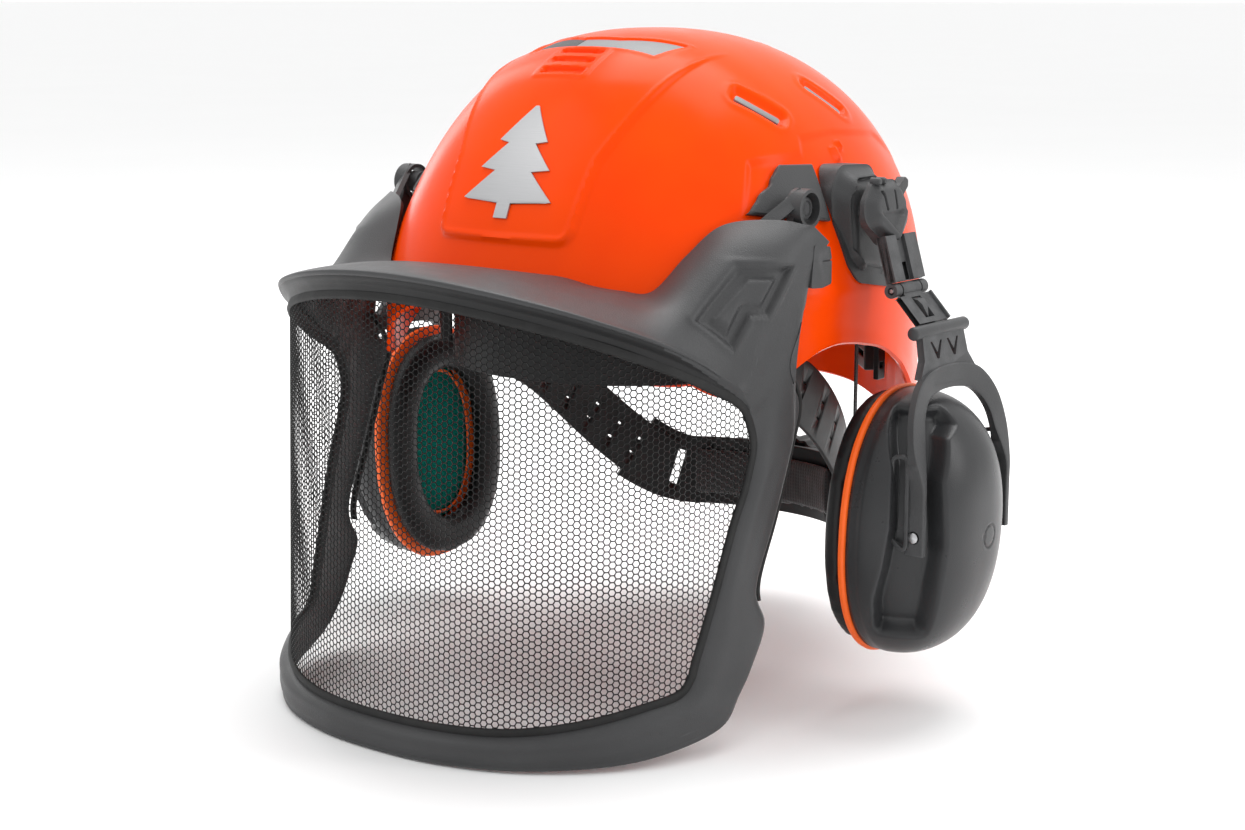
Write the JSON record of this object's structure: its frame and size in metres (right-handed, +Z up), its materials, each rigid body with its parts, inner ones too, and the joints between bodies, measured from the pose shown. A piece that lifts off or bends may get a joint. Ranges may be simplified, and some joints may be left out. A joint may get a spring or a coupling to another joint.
{
  "type": "forestry helmet",
  "caption": "Hard shell head protector with an adjustable harness, a tilting mesh face visor and swinging ear muffs.",
  "frame": {"origin": "centre of the tilted headband ring, where a head carries the helmet", "axes": "+Z up, the wearer faces -Y, +X is the wearer's left; the plane x = 0 is the plane of symmetry"},
  "size_m": [0.3454, 0.316, 0.2818],
  "materials": {
    "shell_orange": "glossy orange",
    "frame_grey": "dark grey, fine grain",
    "fitting_grey": "dark grey, fine grain",
    "cup_grey": "semi-gloss dark grey",
    "black_plastic": "satin black",
    "black_rubber": "matt black",
    "mesh_black": "black coated wire",
    "vent_grey": "satin grey",
    "emblem_silver": "silver",
    "ring_orange": "satin orange",
    "cushion_black": "smooth soft skin",
    "foam_teal": "open foam",
    "webbing_black": "woven",
    "steel": "plain"
  },
  "bodies": {
    "helmet": {"shell": "shell_orange", "conifer_emblem": "emblem_silver", "crown_vent_front": "black_plastic", "crown_vent_rear": "black_plastic", "side_vent_liner_L": "vent_grey", "side_vent_liner_R": "vent_grey", "headband": "black_plastic", "brow_pad": "webbing_black", "nape_cradle": "black_plastic", "nape_pad": "webbing_black", "crown_strap_a": "webbing_black", "crown_strap_b": "webbing_black", "crown_pad": "webbing_black", "strap_anchor_front_L": "black_plastic", "strap_anchor_front_R": "black_plastic", "strap_anchor_rear_L": "black_plastic", "strap_anchor_rear_R": "black_plastic", "ratchet_housing": "black_plastic", "visor_pivot_plate_L": "fitting_grey", "visor_pivot_plate_R": "fitting_grey", "slot_housing_L": "fitting_grey", "slot_housing_R": "fitting_grey"},
    "visor": {"visor_frame": "frame_grey", "visor_mesh": "mesh_black", "mesh_rim": "black_rubber", "visor_arm_L": "fitting_grey", "visor_arm_R": "fitting_grey", "slide_block_L": "fitting_grey", "slide_block_R": "fitting_grey", "edge_seal_L": "black_rubber", "edge_seal_R": "black_rubber"},
    "knob": {"ratchet_knob": "black_plastic", "ratchet_pinion": "black_plastic"},
    "rack_left": {"band_rack_L": "black_plastic"},
    "rack_right": {"band_rack_R": "black_plastic"},
    "arm_left": {"arm_cover_L": "fitting_grey", "arm_upper_L": "fitting_grey", "arm_hinge_pin_L": "steel"},
    "lower_arm_left": {"arm_lower_L": "fitting_grey", "arm_spring_L": "steel"},
    "fork_left": {"yoke_L": "fitting_grey"},
    "muff_left": {"cup_L": "cup_grey", "backplate_L": "ring_orange", "cushion_L": "cushion_black", "foam_L": "foam_teal", "pivot_pin_front_L": "steel", "pivot_pin_rear_L": "steel"},
    "arm_right": {"arm_cover_R": "fitting_grey", "arm_upper_R": "fitting_grey", "arm_hinge_pin_R": "steel"},
    "lower_arm_right": {"arm_lower_R": "fitting_grey", "arm_spring_R": "steel"},
    "fork_right": {"yoke_R": "fitting_grey"},
    "muff_right": {"cup_R": "cup_grey", "backplate_R": "ring_orange", "cushion_R": "cushion_black", "foam_R": "foam_teal", "pivot_pin_front_R": "steel", "pivot_pin_rear_R": "steel"}
  },
  "joints": [
    {"name": "visor_tilt", "type": "hinge", "parent": "helmet", "child": "visor", "pos_m": [0, -0.043, 0.1035], "axis": [-1, 0, 0], "range_deg": [0, 90]},
    {"name": "knob_turn", "type": "hinge", "parent": "helmet", "child": "knob", "pos_m": [0, 0.1075, -0.046], "axis": [0, 1, 0], "range_deg": [-60, 90]},
    {"name": "rack_slide_left", "type": "slide", "parent": "helmet", "child": "rack_left", "axis": [1, 0, 0], "range_m": [-0.0064, 0.0095]},
    {"name": "rack_slide_right", "type": "slide", "parent": "helmet", "child": "rack_right", "axis": [-1, 0, 0], "range_m": [-0.0064, 0.0095]},
    {"name": "arm_turn_left", "type": "hinge", "parent": "helmet", "child": "arm_left", "pos_m": [0.1185, -0.003, 0.099], "axis": [1, 0, 0], "range_deg": [0, 60]},
    {"name": "arm_swing_left", "type": "hinge", "parent": "arm_left", "child": "lower_arm_left", "pos_m": [0.1325, -0.003, 0.069], "axis": [0, 1, 0], "range_deg": [-8, 18]},
    {"name": "yoke_height_left", "type": "slide", "parent": "lower_arm_left", "child": "fork_left", "axis": [0.6832, 0, -0.7303], "range_m": [0, 0.012]},
    {"name": "cup_tilt_left", "type": "hinge", "parent": "fork_left", "child": "muff_left", "pos_m": [0.1585, -0.001, -0.026], "axis": [0, 1, 0], "range_deg": [-5, 5]},
    {"name": "arm_turn_right", "type": "hinge", "parent": "helmet", "child": "arm_right", "pos_m": [-0.1185, -0.003, 0.099], "axis": [1, 0, 0], "range_deg": [0, 60]},
    {"name": "arm_swing_right", "type": "hinge", "parent": "arm_right", "child": "lower_arm_right", "pos_m": [-0.1325, -0.003, 0.069], "axis": [0, -1, 0], "range_deg": [-8, 18]},
    {"name": "yoke_height_right", "type": "slide", "parent": "lower_arm_right", "child": "fork_right", "axis": [-0.6832, 0, -0.7303], "range_m": [0, 0.012]},
    {"name": "cup_tilt_right", "type": "hinge", "parent": "fork_right", "child": "muff_right", "pos_m": [-0.1585, -0.001, -0.026], "axis": [0, -1, 0], "range_deg": [-5, 5]}
  ],
  "couplings": [
    {"joint": "rack_slide_left", "follows": "knob_turn", "m_per_rad": 0.006},
    {"joint": "rack_slide_right", "follows": "knob_turn", "m_per_rad": 0.006}
  ]
}
